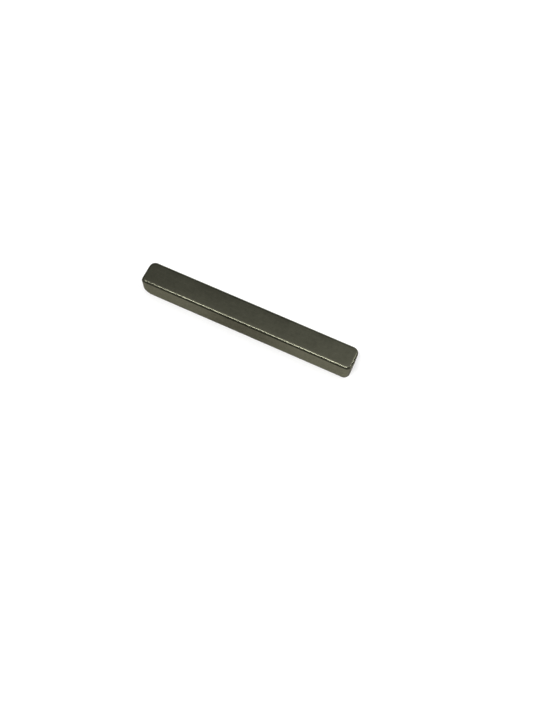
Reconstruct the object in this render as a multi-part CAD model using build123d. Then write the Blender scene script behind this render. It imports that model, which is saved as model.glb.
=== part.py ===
from build123d import *
import os

# Parallel key of square section with flat ends, a single piece of steel.
# Sizes are in millimetres. The key lies along X on its underside, and the
# origin is the middle of that underside.

# Section and length
width = 5.0
height = 5.0
length = 45.0

# Rounding, left by cutting and tumbling the blank
edge_radius = 0.45          # every edge, all round
end_corner_radius = 1.3     # the upright corners of the ends
tight_corner_radius = 0.7   # the upright corner at -X, -Y, which wore least
lead_in_radius = 2.2        # the lower edge of the -X end, which enters the keyway first


def extruded_outline(plane, corners, radii, depth, both=False):
    """A straight-sided outline with one radius for each corner, extruded from a plane."""
    with BuildPart() as prism:
        with BuildSketch(plane):
            with BuildLine():
                FilletPolyline(*corners, radius=radii, close=True)
            make_face()
        extrude(amount=depth, both=both)
    return prism.part


def make_core(inset):
    """The key without its edge rounding, smaller than the finished key by the inset all round.

    It is what the outline seen from above and the outline seen from the side have in common.
    """
    x = length / 2 - inset
    y = width / 2 - inset
    bottom = inset
    top = height - inset
    end_corner = max(end_corner_radius - inset, 0)
    tight_corner = max(tight_corner_radius - inset, 0)
    lead_in = max(lead_in_radius - inset, 0)

    seen_from_above = extruded_outline(
        Plane.XY.offset(bottom),
        [(-x, -y), (x, -y), (x, y), (-x, y)],
        [tight_corner, end_corner, end_corner, end_corner],
        depth=top - bottom,
    )
    seen_from_the_side = extruded_outline(
        Plane.XZ,
        [(-x, bottom), (x, bottom), (x, top), (-x, top)],
        [lead_in, 0, 0, 0],
        depth=y,
        both=True,
    )
    return seen_from_above & seen_from_the_side


def make_key():
    """Growing the core by the edge radius rounds every edge, and brings the key to full size."""
    return offset(make_core(edge_radius), amount=edge_radius, kind=Kind.ARC)


os.makedirs("parts", exist_ok=True)
export_step(make_key(), "parts/key.step")
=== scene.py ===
import math
import random
import bmesh
import bpy
from mathutils import Matrix, Quaternion, Vector


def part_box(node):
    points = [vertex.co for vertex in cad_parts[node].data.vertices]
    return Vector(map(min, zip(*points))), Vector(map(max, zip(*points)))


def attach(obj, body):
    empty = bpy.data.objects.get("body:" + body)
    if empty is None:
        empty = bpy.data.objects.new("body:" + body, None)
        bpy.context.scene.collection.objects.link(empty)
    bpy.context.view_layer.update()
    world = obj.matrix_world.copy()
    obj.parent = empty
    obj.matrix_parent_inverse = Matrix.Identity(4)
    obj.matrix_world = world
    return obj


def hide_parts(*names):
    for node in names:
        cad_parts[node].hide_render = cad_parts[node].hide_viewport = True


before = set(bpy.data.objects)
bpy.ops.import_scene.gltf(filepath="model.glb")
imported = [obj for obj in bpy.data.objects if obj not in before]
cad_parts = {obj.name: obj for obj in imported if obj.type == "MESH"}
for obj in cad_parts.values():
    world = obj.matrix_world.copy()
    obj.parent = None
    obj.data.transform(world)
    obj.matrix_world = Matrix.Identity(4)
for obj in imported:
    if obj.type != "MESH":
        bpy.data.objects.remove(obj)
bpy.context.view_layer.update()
print("frame loaded")

scene = bpy.context.scene
scene.view_settings.view_transform = "Standard"


# the key's shape, in metres: a bar with tumbled edges, lying along X on its underside
keyShape = {
    "edgeRadius": 0.00045,
    "endCorner": 0.0013,      # upright corners of the ends
    "tightCorner": 0.0007,    # the upright corner at -X, -Y, which wore least
    "leadIn": 0.0022,         # lower edge of the -X end, which enters the keyway first
    "edgeCell": 0.00009,      # spacing of the cuts round the edges
    "endCell": 0.00014,       # spacing over the rounded ends
    "faceCell": 0.0003,       # spacing on the flat faces
    "middleGap": 0.3,         # a cut nearer to the middle than this share of a face cell is left out
    "cutTolerance": 1e-8,
    "searchTurns": 24,        # most rounds of the search for a point's place on the core
    "searchEnd": 1e-9,        # the search ends when a round moves the point less than this
    "crown": 0.018,           # share of the half height by which the top falls towards its long edges
    "crownPower": 6,          # a high power keeps the middle of the face flat
    "tumblePasses": 1,        # smoothing that lets the faces fall away beside their edges
    "tumbleFactor": 0.5,
    "nicks": 12,              # small knocks along the edges
    "nickSeed": 7,
    "nickReach": (0.00018, 0.00042),  # least and greatest radius of a nick
    "nickDepth": (0.000004, 0.000012),
    "nickSlope": (0.5, 0.85),         # nicks start where the surface turns from one face to the next
    "cutSlope": 0.75,         # a face that looks this far along X belongs to a cut end
}


def cutStations(low, high, endReach, shape):
    # fine cuts by the edges, medium cuts over the rounded ends, wide cuts between
    half = (high - low) / 2
    reach = 0.0
    inner = []
    while reach < half:
        if reach < shape["edgeRadius"]:
            reach += shape["edgeCell"]
        elif reach < endReach:
            reach += shape["endCell"]
        else:
            reach += shape["faceCell"]
        if reach < half - shape["faceCell"] * shape["middleGap"]:
            inner.append(reach)
    return sorted([low + reach for reach in inner] + [high - reach for reach in inner] + [(low + high) / 2])


def keepInside(across, along, low, high, radius):
    # nearest point of a rectangle with rounded corners
    middle = Vector((
        min(max(across, low[0] + radius), high[0] - radius),
        min(max(along, low[1] + radius), high[1] - radius),
    ))
    out = Vector((across, along)) - middle
    if out.length > radius:
        out = out.normalized() * radius
    return middle + out


def nearestInCore(point, low, high, shape):
    # the core is what the outline from above and the outline from the side have in common
    inset = shape["edgeRadius"]
    corner = shape["endCorner"] - inset
    if point.x < 0 and point.y < 0:
        corner = shape["tightCorner"] - inset
    lead = 0
    if point.x < 0 and point.z < (low.z + high.z) / 2:
        lead = shape["leadIn"] - inset
    found = point.copy()
    fromAbove = Vector()
    fromSide = Vector()
    for turn in range(shape["searchTurns"]):
        tried = found + fromAbove
        flat = keepInside(tried.x, tried.y, (low.x, low.y), (high.x, high.y), corner)
        kept = Vector((flat.x, flat.y, min(max(tried.z, low.z), high.z)))
        fromAbove = tried - kept
        tried = kept + fromSide
        flat = keepInside(tried.x, tried.z, (low.x, low.z), (high.x, high.z), lead)
        kept = Vector((flat.x, min(max(tried.y, low.y), high.y), flat.y))
        fromSide = tried - kept
        moved = (kept - found).length
        found = kept
        if moved < shape["searchEnd"]:
            break
    return found


def makeKey(shape):
    low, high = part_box("key")
    key = bmesh.new()
    bmesh.ops.create_cube(key, size=1)
    bmesh.ops.scale(key, vec=high - low, verts=key.verts)
    bmesh.ops.translate(key, vec=(low + high) / 2, verts=key.verts)
    for axis in range(3):
        normal = Vector((0, 0, 0))
        normal[axis] = 1
        endReach = shape["leadIn"] if axis == 0 else shape["endCorner"]
        for station in cutStations(low[axis], high[axis], endReach, shape):
            everything = key.verts[:] + key.edges[:] + key.faces[:]
            bmesh.ops.bisect_plane(key, geom=everything, dist=shape["cutTolerance"],
                                   plane_co=normal * station, plane_no=normal)

    # every point goes to the rounded surface round the core
    inset = Vector((1, 1, 1)) * shape["edgeRadius"]
    middle = (low + high) / 2
    half = (high - low) / 2
    for vert in key.verts:
        nearest = nearestInCore(vert.co, low + inset, high - inset, shape)
        outward = (vert.co - nearest).normalized()
        vert.co = nearest + outward * shape["edgeRadius"]
        across = abs((vert.co.y - middle.y) / half.y)
        vert.co.z -= (vert.co.z - middle.z) * shape["crown"] * across ** shape["crownPower"]

    for tumble in range(shape["tumblePasses"]):
        bmesh.ops.smooth_vert(key, verts=key.verts, factor=shape["tumbleFactor"],
                              use_axis_x=True, use_axis_y=True, use_axis_z=True)
    key.normal_update()
    addNicks(key, shape)
    return finishKey(key, shape)


def addNicks(key, shape):
    # each nick is a shallow round dent
    chance = random.Random(shape["nickSeed"])
    least, most = shape["nickSlope"]
    onEdges = [vert for vert in key.verts if least < max(abs(part) for part in vert.normal) < most]
    for nick in range(shape["nicks"]):
        centre = chance.choice(onEdges)
        place = centre.co.copy()
        inward = -centre.normal.copy()
        reach = chance.uniform(*shape["nickReach"])
        depth = chance.uniform(*shape["nickDepth"])
        for vert in key.verts:
            away = (vert.co - place).length
            if away < reach:
                vert.co += inward * depth * (1 - (away / reach) ** 2) ** 2


def finishKey(key, shape):
    # the ends take the second material, because they were cut and not drawn
    key.normal_update()
    for face in key.faces:
        face.smooth = True
        face.material_index = 1 if abs(face.normal.x) > shape["cutSlope"] else 0
    mesh = bpy.data.meshes.new("squareKey")
    key.to_mesh(mesh)
    key.free()
    made = bpy.data.objects.new("squareKey", mesh)
    scene.collection.objects.link(made)
    return made


def newNodes(tree, *kinds):
    return [tree.nodes.new("ShaderNode" + kind) for kind in kinds]


def newMaterial(name):
    material = bpy.data.materials.new(name)
    material.use_nodes = True
    material.node_tree.nodes.clear()
    return material, material.node_tree


def feed(tree, socket, value):
    # value is another node's socket or a plain number, and None leaves the socket as it is
    if isinstance(value, bpy.types.NodeSocket):
        tree.links.new(value, socket)
    elif value is not None:
        socket.default_value = value


def addMath(tree, operation, first, second=None, third=None):
    step = tree.nodes.new("ShaderNodeMath")
    step.operation = operation
    for socket, value in zip(step.inputs, (first, second, third)):
        feed(tree, socket, value)
    return step.outputs[0]


def addRamp(tree, value, start, end, atStart=0, atEnd=1, eased=True):
    ramp = tree.nodes.new("ShaderNodeMapRange")
    ramp.interpolation_type = "SMOOTHSTEP" if eased else "LINEAR"
    settings = {"Value": value, "From Min": start, "From Max": end, "To Min": atStart, "To Max": atEnd}
    for label, setting in settings.items():
        feed(tree, ramp.inputs[label], setting)
    return ramp.outputs["Result"]


def addNoise(tree, place, scale, detail, breakup=None):
    # noise centred on 0
    noise = tree.nodes.new("ShaderNodeTexNoise")
    settings = {"Vector": place, "Scale": scale, "Detail": detail, "Roughness": breakup}
    for label, setting in settings.items():
        feed(tree, noise.inputs[label], setting)
    return addMath(tree, "SUBTRACT", noise.outputs[0], 0.5)


def splitVector(tree, vector):
    parts = tree.nodes.new("ShaderNodeSeparateXYZ")
    tree.links.new(vector, parts.inputs[0])
    return parts.outputs[:]


def newGroup(name, inputs, outputs):
    # inputs are named values, each with its usual setting
    group = bpy.data.node_groups.new(name, "ShaderNodeTree")
    for label, usual in inputs.items():
        socket = group.interface.new_socket(label, in_out="INPUT", socket_type="NodeSocketFloat")
        socket.default_value = usual
    for label in outputs:
        group.interface.new_socket(label, in_out="OUTPUT", socket_type="NodeSocketFloat")
    given = group.nodes.new("NodeGroupInput")
    result = group.nodes.new("NodeGroupOutput")
    place = group.nodes.new("ShaderNodeTexCoord")
    return group, given.outputs, result.inputs, place.outputs


def addGroup(tree, group, settings):
    node = tree.nodes.new("ShaderNodeGroup")
    node.node_tree = group
    for label, value in settings.items():
        node.inputs[label].default_value = value
    return node.outputs


def makeBurnishGroup():
    # 1 on the rounded top and bottom edges, with an uneven border, 0 on flat faces and upright corners
    usual = {
        "Start": 0.995,           # how squarely a face looks along an axis where the wear starts
        "End": 0.93,
        "Unevenness": 0.006,
        "Patch Scale": 900,
        "Upright": 0.4,           # no wear where the surface stands more upright than this
        "Level": 0.7,
    }
    group, given, result, place = newGroup("edgeBurnish", usual, ["Edge"])
    sizes = [addMath(group, "ABSOLUTE", part) for part in splitVector(group, place["Normal"])]
    largest = addMath(group, "MAXIMUM", addMath(group, "MAXIMUM", sizes[0], sizes[1]), sizes[2])
    wander = addNoise(group, place["Object"], given["Patch Scale"], 3)
    border = addMath(group, "MULTIPLY_ADD", wander, given["Unevenness"], largest)
    worn = addRamp(group, border, given["Start"], given["End"])
    level = addRamp(group, sizes[2], given["Upright"], given["Level"])
    feed(group, result["Edge"], addMath(group, "MULTIPLY", worn, level))
    return group


def makePaintedEdgeShadeGroup():
    # painted shade: 1 on the lower half of the rounding along the long top edges, a dark band that stands
    # in for the dark reflection there
    usual = {"Low": 0.12, "High": 0.66, "Softness": 0.14, "Side Start": 0.35, "Side End": 0.7}
    group, given, result, place = newGroup("paintedEdgeShade", usual, ["Line"])
    facing = splitVector(group, place["Normal"])
    fullLow = addMath(group, "ADD", given["Low"], given["Softness"])
    fullHigh = addMath(group, "SUBTRACT", given["High"], given["Softness"])
    rise = addRamp(group, facing[2], given["Low"], fullLow)
    fall = addRamp(group, facing[2], fullHigh, given["High"], 1, 0)
    onSide = addMath(group, "ABSOLUTE", facing[1])
    side = addRamp(group, onSide, given["Side Start"], given["Side End"], eased=False)
    band = addMath(group, "MULTIPLY", rise, fall)
    feed(group, result["Line"], addMath(group, "MULTIPLY", band, side))
    return group


def makeMottleGroup():
    # soft cloudy variation of an oiled steel surface, centred on 0
    usual = {"Scale": 1900, "Detail": 5, "Breakup": 1.0, "Cloud Scale": 190, "Cloud Detail": 2}
    group, given, result, place = newGroup("steelMottle", usual, ["Mottle", "Cloud"])
    fine = addNoise(group, place["Object"], given["Scale"], given["Detail"], given["Breakup"])
    broad = addNoise(group, place["Object"], given["Cloud Scale"], given["Cloud Detail"])
    feed(group, result["Mottle"], fine)
    feed(group, result["Cloud"], broad)
    return group


def makeMarksGroup():
    # fine straight marks, drawn out along the axis with the lowest scale
    usual = {"Along X": 60, "Along Y": 5200, "Along Z": 5200, "Detail": 3, "Breakup": 0.6}
    group, given, result, place = newGroup("fineMarks", usual, ["Marks"])
    scales, stretch = newNodes(group, "CombineXYZ", "VectorMath")
    for socket, label in zip(scales.inputs, ("Along X", "Along Y", "Along Z")):
        feed(group, socket, given[label])
    stretch.operation = "MULTIPLY"
    feed(group, stretch.inputs[0], place["Object"])
    feed(group, stretch.inputs[1], scales.outputs[0])
    marks = addNoise(group, stretch.outputs[0], 1, given["Detail"], given["Breakup"])
    feed(group, result["Marks"], marks)
    return group


edgeBurnish = makeBurnishGroup()
paintedEdgeShade = makePaintedEdgeShadeGroup()
steelMottle = makeMottleGroup()
fineMarks = makeMarksGroup()

# dark satin steel: the long faces are drawn, the ends are cut
steelLooks = {
    "drawnSteel": {
        "colour": (0.081, 0.081, 0.059),
        "grazing": (0.57, 0.55, 0.51),     # tint of what the steel mirrors at a low angle
        "mottle": 1.2,
        "cloud": 0.25,
        "paintedLightDrift": 2.4,                      # painted light: share of brightness gained per metre towards +X
        "paintedSideLight": 1.5,                   # painted light: the long sides brighter than the top, as where they mirror the pale floor
        "paintedMiddleShade": 0.36,               # painted shade: the long sides darker towards the middle, as where they mirror the floor's shade
        "middleReach": (0.002, 0.013),     # where that shade starts to fade, and where it ends
        "marks": {"Along X": 150, "Along Y": 3800, "Along Z": 3800},
        "marksShade": 0.3,
        "sideMarks": {"Along X": 4200, "Along Y": 1500, "Along Z": 1500},
        "sideMarksShade": 0.9,
        "edgeColour": 1.05,                # burnished steel is a little brighter
        # painted shade: how dark the line under the long top edges is painted
        "paintedEdgeShadeLevel": 0.04,
        "roughness": 0.36,
        "roughnessVariation": 0.10,
        "edgeRoughness": 0.20,
        "bump": 0.12,
        "bumpDepth": 0.000004,
        "edgeBump": 0.15,                  # share of the bump that burnished edges keep
    },
    "cutSteel": {
        "colour": (0.088, 0.0865, 0.0665),
        "grazing": (0.57, 0.55, 0.51),
        "mottle": 1.2,
        "cloud": 0.25,
        "paintedLightDrift": 0.0,
        "paintedSideLight": 1.0,
        "paintedMiddleShade": 0.0,
        "middleReach": (0.002, 0.013),
        "marks": {"Along X": 900, "Along Y": 300, "Along Z": 5200},
        "marksShade": 0.16,
        "sideMarks": {"Along X": 900, "Along Y": 300, "Along Z": 5200},
        "sideMarksShade": 0.6,
        "edgeColour": 1.05,
        "paintedEdgeShadeLevel": 0.04,
        "roughness": 0.42,
        "roughnessVariation": 0.12,
        "edgeRoughness": 0.20,
        "bump": 0.22,
        "bumpDepth": 0.000006,
        "edgeBump": 0.15,
    },
}


def makeSteel(name, look):
    material, tree = newMaterial(name)
    output, steel, place, tint, bump = newNodes(
        tree, "OutputMaterial", "BsdfPrincipled", "TexCoord", "VectorMath", "Bump")
    burnish = addGroup(tree, edgeBurnish, {})
    paintedEdgeShadeMask = addGroup(tree, paintedEdgeShade, {})
    mottle = addGroup(tree, steelMottle, {})
    marks = addGroup(tree, fineMarks, look["marks"])
    sideMarks = addGroup(tree, fineMarks, look["sideMarks"])

    # brightness of the steel: 1, plus mottling, marks and a painted drift of light along the key
    along = splitVector(tree, place.outputs["Object"])[0]
    shade = addMath(tree, "MULTIPLY_ADD", mottle["Mottle"], look["mottle"], 1.0)
    shade = addMath(tree, "MULTIPLY_ADD", mottle["Cloud"], look["cloud"], shade)
    shade = addMath(tree, "MULTIPLY_ADD", marks["Marks"], look["marksShade"], shade)
    # painted light: brighter towards +X
    shade = addMath(tree, "MULTIPLY_ADD", along, look["paintedLightDrift"], shade)

    # what differs on the long sides: painted shade towards the middle, ruled marks and painted light
    onSide = addMath(tree, "ABSOLUTE", splitVector(tree, place.outputs["Normal"])[1])
    fadeStart, fadeEnd = look["middleReach"]
    fromMiddle = addMath(tree, "ABSOLUTE", along)
    # painted shade: the long sides darker towards the middle of the key
    middle = addRamp(tree, fromMiddle, fadeStart, fadeEnd, -look["paintedMiddleShade"], 0)
    shade = addMath(tree, "MULTIPLY_ADD", middle, onSide, shade)
    ruled = addMath(tree, "MULTIPLY", sideMarks["Marks"], look["sideMarksShade"])
    shade = addMath(tree, "MULTIPLY_ADD", ruled, onSide, shade)
    # painted light: the long sides lifted in brightness
    paintedSideLightFactor = addMath(tree, "MULTIPLY_ADD", onSide, look["paintedSideLight"] - 1, 1.0)
    shade = addMath(tree, "MULTIPLY", shade, paintedSideLightFactor)

    # worn edges, and the painted shade of a dark line under them
    worn = addMath(tree, "MULTIPLY_ADD", burnish["Edge"], look["edgeColour"] - 1, 1.0)
    shade = addMath(tree, "MULTIPLY", shade, worn)
    # painted shade: darken the colour in the band under the long top edges
    paintedEdgeDarkening = addMath(tree, "MULTIPLY_ADD", paintedEdgeShadeMask["Line"], look["paintedEdgeShadeLevel"] - 1, 1.0)
    shade = addMath(tree, "MULTIPLY", shade, paintedEdgeDarkening)
    tint.operation = "SCALE"
    tint.inputs[0].default_value = look["colour"]
    feed(tree, tint.inputs["Scale"], shade)
    feed(tree, steel.inputs["Base Color"], tint.outputs[0])

    # satin faces, smoother edges
    rough = addMath(tree, "MULTIPLY_ADD", mottle["Cloud"], look["roughnessVariation"], look["roughness"])
    rough = addMath(tree, "MULTIPLY_ADD", mottle["Mottle"], look["roughnessVariation"], rough)
    fall = look["edgeRoughness"] - look["roughness"]
    rough = addMath(tree, "MULTIPLY_ADD", burnish["Edge"], fall, rough)
    feed(tree, steel.inputs["Roughness"], rough)

    height = addMath(tree, "ADD", marks["Marks"], mottle["Mottle"])
    calm = addMath(tree, "MULTIPLY_ADD", burnish["Edge"], look["edgeBump"] - 1, 1.0)
    feed(tree, bump.inputs["Height"], addMath(tree, "MULTIPLY", height, calm))
    feed(tree, bump.inputs["Strength"], look["bump"])
    feed(tree, bump.inputs["Distance"], look["bumpDepth"])
    feed(tree, steel.inputs["Normal"], bump.outputs[0])
    steel.inputs["Metallic"].default_value = 1.0
    steel.inputs["Specular Tint"].default_value = (*look["grazing"], 1)
    tree.links.new(steel.outputs["BSDF"], output.inputs["Surface"])
    return material


squareKey = makeKey(keyShape)
for name, look in steelLooks.items():
    squareKey.data.materials.append(makeSteel(name, look))
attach(squareKey, "root")
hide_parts("key")
print("key made", len(squareKey.data.vertices), "points")


# pale floor, as white far away as it is under the lamps
floorLook = {
    "size": 3.0,
    "colour": 0.8,
    "glow": 0.2,              # what the camera and mirrors see on top of the lit paper
    "farGlow": 1.0,           # the same, far from the lamps
    "glowStart": 0.10,
    "glowEnd": 0.75,
}


def makeFloor(look):
    mesh = bpy.data.meshes.new("floor")
    shape = bmesh.new()
    bmesh.ops.create_grid(shape, x_segments=1, y_segments=1, size=look["size"])
    shape.to_mesh(mesh)
    shape.free()
    floor = bpy.data.objects.new("floor", mesh)
    scene.collection.objects.link(floor)

    material, tree = newMaterial("paleFloor")
    output, paper, glow, both = newNodes(tree, "OutputMaterial", "BsdfDiffuse", "Emission", "AddShader")
    path, place, away = newNodes(tree, "LightPath", "TexCoord", "VectorMath")
    paper.inputs["Color"].default_value = (look["colour"], look["colour"], look["colour"], 1)
    away.operation = "LENGTH"
    feed(tree, away.inputs[0], place.outputs["Object"])
    distance = away.outputs["Value"]
    rise = addRamp(tree, distance, look["glowStart"], look["glowEnd"], look["glow"], look["farGlow"])

    # the paper looks white to the camera, and in anything that mirrors it
    seen = addMath(tree, "MAXIMUM", path.outputs["Is Camera Ray"], path.outputs["Is Glossy Ray"])
    seen = addMath(tree, "MAXIMUM", seen, path.outputs["Is Transmission Ray"])
    feed(tree, glow.inputs["Strength"], addMath(tree, "MULTIPLY", seen, rise))
    tree.links.new(paper.outputs[0], both.inputs[0])
    tree.links.new(glow.outputs[0], both.inputs[1])
    tree.links.new(both.outputs[0], output.inputs["Surface"])
    mesh.materials.append(material)


makeFloor(floorLook)
print("floor laid")


# the room is white up to a low wall and darker above it
roomLook = {
    "wall": 1.0,
    "above": 0.105,
    "wallTop": 0.22,          # heights as the sine of the angle above the horizon
    "aboveStart": 0.45,
}


def paintRoom(look):
    room = bpy.data.worlds.new("room")
    room.use_nodes = True
    tree = room.node_tree
    direction = tree.nodes.new("ShaderNodeTexCoord")
    height = splitVector(tree, direction.outputs["Generated"])[2]
    level = addRamp(tree, height, look["wallTop"], look["aboveStart"], look["wall"], look["above"])
    feed(tree, tree.nodes["Background"].inputs["Color"], level)
    scene.world = room


# lamps that face the key; level is how bright a lamp's face is, and turn rolls it about its own axis
softboxes = {
    "overhead": {"place": (0.00, 0.050, 0.42), "width": 0.50, "depth": 0.23, "level": 0.88, "turn": 0},
    "frontStrip": {"place": (-0.02, -0.135, 0.36), "width": 0.25, "depth": 0.042, "level": 27.0, "turn": 7},
    "rightBack": {"place": (0.20, 0.215, 0.41), "width": 0.075, "depth": 0.075, "level": 26.0, "turn": 0},
    "rightFill": {"place": (0.445, -0.02, 0.24), "width": 0.40, "depth": 0.19, "level": 0.7, "turn": 90},
}
powerPerLevel = 4             # watts per square metre that make a lamp's face this bright


def setSoftboxes(boxes):
    for name, box in boxes.items():
        lamp = bpy.data.lights.new(name, "AREA")
        lamp.shape = "RECTANGLE"
        lamp.size = box["width"]
        lamp.size_y = box["depth"]
        lamp.energy = box["level"] * box["width"] * box["depth"] * powerPerLevel
        stand = bpy.data.objects.new(name, lamp)
        stand.location = box["place"]
        facing = Vector(box["place"]).to_track_quat("Z", "Y")
        stand.rotation_euler = (facing @ Quaternion((0, 0, 1), math.radians(box["turn"]))).to_euler()
        scene.collection.objects.link(stand)


paintRoom(roomLook)
setSoftboxes(softboxes)
print("lamps set")


# angles in degrees, distances in metres, lens and sensor in millimetres
cameraLook = {
    "azimuth": 20.19,
    "elevation": 67.37,
    "roll": -4.82,
    "distance": 0.1420,
    "slideAcross": 0.00361,
    "slideUp": -0.00618,
    "lens": 35.75,
    "sensor": 36,
    "clipStart": 0.001,
    "clipEnd": 20,
}


def addCamera(look):
    azimuth = math.radians(look["azimuth"])
    elevation = math.radians(look["elevation"])
    roll = math.radians(look["roll"])
    back = Vector((
        math.cos(elevation) * math.sin(azimuth),
        -math.cos(elevation) * math.cos(azimuth),
        math.sin(elevation),
    ))
    level = Vector((math.cos(azimuth), math.sin(azimuth), 0))
    upward = back.cross(level)
    across = level * math.cos(roll) - upward * math.sin(roll)
    up = upward * math.cos(roll) + level * math.sin(roll)
    lens = bpy.data.cameras.new("camera")
    lens.lens = look["lens"]
    lens.sensor_width = look["sensor"]
    lens.clip_start = look["clipStart"]
    lens.clip_end = look["clipEnd"]
    camera = bpy.data.objects.new("camera", lens)
    place = back * look["distance"] + across * look["slideAcross"] + up * look["slideUp"]
    camera.matrix_world = Matrix.Translation(place) @ Matrix((across, up, back)).transposed().to_4x4()
    scene.collection.objects.link(camera)
    scene.camera = camera


addCamera(cameraLook)
print("camera placed")
